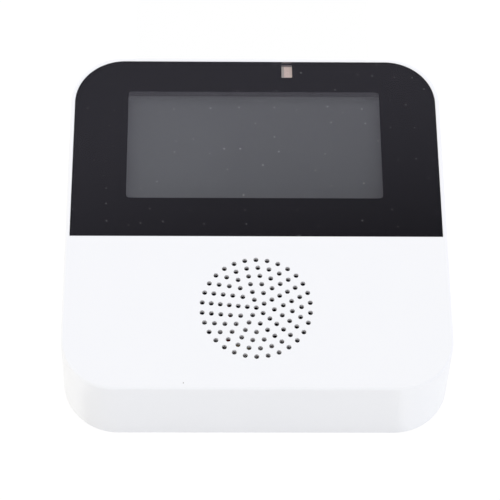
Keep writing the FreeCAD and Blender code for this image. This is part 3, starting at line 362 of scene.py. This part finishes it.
def make_laminate():
    """Board with dark varnish over its tracks, small tinned pads, and, in the air chamber, a white area that
    is a painted pool of the light falling in through the grille.
    """
    m = Maker("board_laminate")
    x, y, z = m.axes()
    warped = m.scaled(1.0, 0.35, 1.0)
    tracks = m.between(m.cells(3.2, feature="DISTANCE_TO_EDGE", vector=warped), 0.05, 0.08, 1.0, 0.0)
    base = m.tint(m.noise(0.5, 2.0), (0.034, 0.040, 0.060), (0.046, 0.054, 0.078))
    base = m.tint(m.times(tracks, 0.75), base, (0.085, 0.098, 0.13))
    # Painted light: a white pool on the board where light through the grille falls.
    across = m.fall(m.maths("ABSOLUTE", m.maths("SUBTRACT", x, PAINTED_LIGHT_MIDDLE * MM)), PAINTED_LIGHT_HALF)
    painted_light_pool = m.times(across, m.rise(y, PAINTED_LIGHT_FOOT), m.fall(y, PAINTED_LIGHT_HEAD), m.rise(z, BOARD_SURFACE))
    base = m.tint(painted_light_pool, base, (0.92, 0.91, 0.92))
    pads = m.times(m.between(m.cells(4.4), 0.13, 0.15, 1.0, 0.0), m.maths("SUBTRACT", 1.0, painted_light_pool))
    base = m.tint(pads, base, (0.62, 0.62, 0.60))
    height = m.maths("ADD", m.times(tracks, 0.5), pads)
    return m.finish(Base_Color=base, Roughness=m.between(pads, 0.0, 1.0, 0.36, 0.28),
                    Metallic=m.times(pads, 0.9), Normal=m.bump(height, 0.03))


def make_metal(name, colour, rough):
    """Metal with fine drawing lines and slow tarnish."""
    m = Maker(name)
    lines = m.noise(0.6, 4.0, 0.6, m.scaled(1.0, 12.0, 1.0))
    tarnish = m.between(m.noise(3.0, 3.0), 0.3, 0.8, 0.0, 0.12)
    base = m.tint(tarnish, colour, tuple(0.45 * c for c in colour))
    return m.finish(Base_Color=base, Metallic=1.0,
                    Roughness=m.between(lines, 0.25, 0.75, rough - 0.08, rough + 0.1),
                    Normal=m.bump(lines, 0.004))


def make_jacket(name, nub_side):
    """Sleeve of a dry cell: slate blue with a pale band near the nub's end, and bare metal ends."""
    m = Maker(name)
    x, _, _ = m.axes()
    along = m.times(x, nub_side)
    base = m.tint(m.noise(6.0, 3.0), (0.045, 0.085, 0.13), (0.055, 0.10, 0.15))
    base = m.tint(m.times(m.rise(along, BAND_START), m.fall(along, BAND_END)), base, (0.62, 0.64, 0.66))
    bare = m.maths("MAXIMUM", m.rise(along, SLEEVE_END), m.fall(along, SLEEVE_START))
    base = m.tint(bare, base, (0.70, 0.70, 0.69))
    rough = m.between(m.noise(2.0, 3.0), 0.3, 0.7, 0.24, 0.34)
    return m.finish(Base_Color=base, Roughness=rough, Metallic=bare, Normal=m.bump(m.noise(0.4, 2.0), 0.003))


def make_all():
    """One material for each slot of the record."""
    return {
        "white_shell": make_white_shell("white_shell"),
        "clear_lens": make_clear_lens(),
        "black_print": make_black_print(),
        "black_tape": make_foam("black_tape", (0.02, 0.02, 0.02)),
        "black_foam": make_foam("black_foam", (0.032, 0.032, 0.034)),
        "black_moulding": make_black_moulding(),
        "display_film": make_display_film(),
        "display_glass": make_glass(),
        "clear_guide": make_guide("clear_guide", (0.85, 0.86, 0.86), (0.80, 0.81, 0.82)),
        "white_sheet": make_sheet(),
        "strip_rubber": make_strip(),
        "led_resin": make_guide("led_resin", (0.85, 0.80, 0.55), (0.80, 0.74, 0.50)),
        "sensor_resin": make_resin(),
        "board_laminate": make_laminate(),
        "tinned_steel": make_metal("tinned_steel", (0.66, 0.66, 0.65), 0.3),
        "can_aluminium": make_metal("can_aluminium", (0.70, 0.70, 0.71), 0.32),
        "disc_brass": make_metal("disc_brass", (0.78, 0.60, 0.28), 0.3),
        "red_insulation": make_insulation(),
        "cell_jacket": make_jacket("cell_jacket", 1.0),
        "contact_metal": make_metal("contact_metal", (0.72, 0.71, 0.69), 0.22),
        "screw_steel": make_metal("screw_steel", (0.60, 0.60, 0.61), 0.3),
    }


# Pieces

def ring_points(left, low, right, high, radii, steps=24):
    """A rectangle's outline, anticlockwise; radii at lower left, lower right, upper right, upper left."""
    points = []
    starts = ((left, low, 180), (right, low, 270), (right, high, 0), (left, high, 90))
    for (x, y, start), radius in zip(starts, radii):
        cx = x + radius if x == left else x - radius
        cy = y + radius if y == low else y - radius
        for i in range(steps + 1):
            angle = math.radians(start + 90.0 * i / steps)
            points.append((cx + radius * math.cos(angle), cy + radius * math.sin(angle)))
    return points


def skin_loops(name, loops, closed):
    """A mesh through loops of points x, y, z that all have the same count; closed fills both ends."""
    mesh = bpy.data.meshes.new(name)
    bm = bmesh.new()
    rings = [[bm.verts.new((x * MM, y * MM, z * MM)) for x, y, z in loop] for loop in loops]
    count = len(rings[0])
    for lower, upper in zip(rings, rings[1:]):
        for i in range(count):
            j = (i + 1) % count
            bm.faces.new((lower[i], lower[j], upper[j], upper[i]))
    if closed:
        bm.faces.new(rings[0][::-1])
        bm.faces.new(rings[-1])
    bmesh.ops.recalc_face_normals(bm, faces=bm.faces)
    bm.to_mesh(mesh)
    bm.free()
    piece = bpy.data.objects.new(name, mesh)
    bpy.context.scene.collection.objects.link(piece)
    return piece


def make_lens():
    """The clear lens with polished edges; the black print behind it lies against it."""
    profile = [(0.0, LENS_BACK - LENS_LIFT)]
    steps = 4
    for i in range(steps + 1):
        angle = math.radians(90.0 * i / steps)
        profile.append((LENS_POLISH * (1 - math.cos(angle)),
                        FACE - LENS_POLISH + LENS_POLISH * math.sin(angle)))
    loops = []
    for inset, z in profile:
        ends = (-LENS_SIDE + inset, LENS_LOW + inset, LENS_SIDE - inset, LENS_SIDE - inset)
        corner = LENS_CORNER - inset
        outline = ring_points(*ends, (LENS_FOOT_CORNER, LENS_FOOT_CORNER, corner, corner))
        loops.append([(x, y, z) for x, y in outline])
    piece = skin_loops("lens_polished", loops, closed=True)
    piece.data.shade_smooth()
    piece.data.set_sharp_from_angle(angle=math.radians(40))
    for polygon in piece.data.polygons:
        polygon.use_smooth = len(polygon.vertices) == 4
    return piece


# Studio

def make_floor_pale():
    """White to the camera, in gloss and through glass, and plain to other light; clear from below."""
    m = Maker("floor_pale")
    x, y, _ = m.axes()
    path = m.add("ShaderNodeLightPath").outputs
    strip = m.times(m.rise(x, STRIP_LEFT), m.fall(x, STRIP_RIGHT),
                    m.rise(y, STRIP_NEAR), m.fall(y, STRIP_FAR))
    dim = m.times(strip, path["Is Glossy Ray"], STRIP_DIM)
    mirrored = m.maths("MAXIMUM", path["Is Glossy Ray"], path["Is Transmission Ray"])
    shown = m.maths("MAXIMUM", path["Is Camera Ray"], mirrored)
    plain = m.add("ShaderNodeBsdfDiffuse", Color=(0.93, 0.93, 0.93, 1.0))
    soft = m.add("ShaderNodeBsdfDiffuse", Color=(0.15, 0.15, 0.15, 1.0))
    glow = m.add("ShaderNodeEmission", Color=(1.0, 1.0, 1.0, 1.0),
                 Strength=m.times(m.maths("SUBTRACT", 1.0, dim), FLOOR_GLOW))
    lit = m.add("ShaderNodeAddShader", _0=soft.outputs[0], _1=glow.outputs[0])
    top = m.add("ShaderNodeMixShader", _0=shown, _1=plain.outputs[0], _2=lit.outputs[0])
    clear = m.add("ShaderNodeBsdfTransparent")
    back = m.add("ShaderNodeNewGeometry").outputs["Backfacing"]
    both = m.add("ShaderNodeMixShader", _0=back, _1=top.outputs[0], _2=clear.outputs[0])
    m.tree.links.new(both.outputs[0], m.output.inputs[0])
    return m.material


def make_floor():
    """A wide floor, open under the object and where its battery door slides out."""
    foot = ring_points(-FOOT, -FOOT, FOOT, FOOT, (FOOT_CORNER,) * 4, 8)
    door_right, door_top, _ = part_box("battery_door")[1]
    door_side = door_right / MM + DOOR_ROOM
    door_end = door_top / MM + DOOR_TRAVEL
    corner = next(i for i, (x, y) in enumerate(foot) if x < 0 and y > FOOT - 0.01)
    way_out = [(door_side, FOOT), (door_side, door_end), (-door_side, door_end), (-door_side, FOOT)]
    hole = foot[:corner] + way_out + foot[corner:]
    outer = []
    for x, y in hole:
        scale = FLOOR_REACH / max(abs(x), abs(y))
        outer.append((x * scale, y * scale))
    loops = [[(x, y, FLOOR_LEVEL) for x, y in loop] for loop in (outer, hole)]
    piece = skin_loops("floor", loops, closed=False)
    for polygon in piece.data.polygons:
        if polygon.normal.z < 0:
            polygon.flip()
    piece.data.materials.append(make_floor_pale())


def make_world():
    """Even white surroundings; what the lens mirrors grows dark overhead, as a plain ceiling does."""
    world = bpy.data.worlds.new("studio")
    bpy.context.scene.world = world
    w = Maker("studio_nodes", world)
    way = w.add("ShaderNodeTexCoord").outputs["Generated"]
    x, y, _ = w.add("ShaderNodeSeparateXYZ", _0=way).outputs

    up = w.add("ShaderNodeVectorMath", {"operation": "DOT_PRODUCT"}, _0=way,
               _1=Vector(CEILING).normalized()).outputs["Value"]
    dark = w.between(up, *CEILING_EDGE, 1.0, 0.05)
    wide = w.between(up, *CEILING_FADE, 1.0, 0.62)
    bluish = w.tint(w.between(up, 0.3, 0.72), (1.0, 0.995, 1.01), (1.02, 0.985, 1.21))
    mirror = w.add("ShaderNodeBackground", Color=bluish, Strength=w.times(dark, wide))

    colour = w.tint(w.between(x, -1.0, -0.3), (1.06, 1.0, 0.84), (0.983, 0.992, 1.01))
    sides = w.maths("ADD", w.between(x, -1.0, -0.2, LEFT_LIGHT, 0.0),
                    w.between(x, 0.2, 1.0, 0.0, RIGHT_LIGHT))
    strength = w.maths("ADD", w.times(y, BACK_LIGHT), w.maths("ADD", AMBIENT, sides))
    lamp = w.add("ShaderNodeBackground", Color=colour, Strength=strength)
    white = w.add("ShaderNodeBackground", Color=(1.0, 1.0, 1.0, 1.0), Strength=1.0)

    path = w.add("ShaderNodeLightPath").outputs
    gloss = w.maths("MAXIMUM", path["Is Glossy Ray"], path["Is Transmission Ray"])
    mirrored = w.times(gloss, w.maths("LESS_THAN", path["Diffuse Depth"], 0.5))
    lit = w.add("ShaderNodeMixShader", _0=mirrored, _1=lamp.outputs[0], _2=mirror.outputs[0])
    seen = w.add("ShaderNodeMixShader", _0=path["Is Camera Ray"], _1=lit.outputs[0], _2=white.outputs[0])
    w.tree.links.new(seen.outputs[0], w.output.inputs[0])


def make_lamp():
    """One large soft lamp overhead, a little behind the object."""
    data = bpy.data.lights.new("overhead", "AREA")
    data.shape = "SQUARE"
    data.size = LAMP_SIZE
    data.energy = LAMP_WATTS
    lamp = bpy.data.objects.new("overhead", data)
    bpy.context.scene.collection.objects.link(lamp)
    lamp.location = LAMP_PLACE
    lamp.rotation_euler = (-lamp.location).to_track_quat("-Z", "Y").to_euler()
    lamp.visible_glossy = False


def make_camera():
    """The camera at the photograph's place: low at the foot of the face, looking down at it."""
    data = bpy.data.cameras.new("camera")
    data.sensor_width = SENSOR
    data.lens = FOCAL_PIXELS * SENSOR / PHOTO_PIXELS
    camera = bpy.data.objects.new("camera", data)
    bpy.context.scene.collection.objects.link(camera)
    turn = Matrix.Identity(3)
    for angle, axis in CAMERA_TURNS:
        turn = turn @ Matrix.Rotation(angle, 3, axis)
    place = Vector(CAMERA_PLACE) * MM
    camera.matrix_world = Matrix.Translation(place) @ turn.transposed().to_4x4()
    bpy.context.scene.camera = camera


def put(thing, material):
    """Gives a piece its one material."""
    thing.data.materials.clear()
    thing.data.materials.append(material)


slots = make_all()
slot_of = {part["node"]: part["material_slot"] for part in frame["record"]["subparts"]}
for name, thing in frame["nodes"].items():
    put(thing, slots[slot_of[name]])
put(frame["nodes"]["front_cover"], make_white_shell("white_shell_front", front=True))
put(frame["nodes"]["light_pipe"], make_sensor_window())
put(frame["nodes"]["battery_cell_2"], make_jacket("cell_jacket_turned", -1.0))

lens = make_lens()
put(lens, slots["clear_lens"])
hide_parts("display_lens")
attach(lens, "housing")

make_floor()
make_world()
make_lamp()
make_camera()
bpy.context.scene.view_settings.view_transform = "Standard"
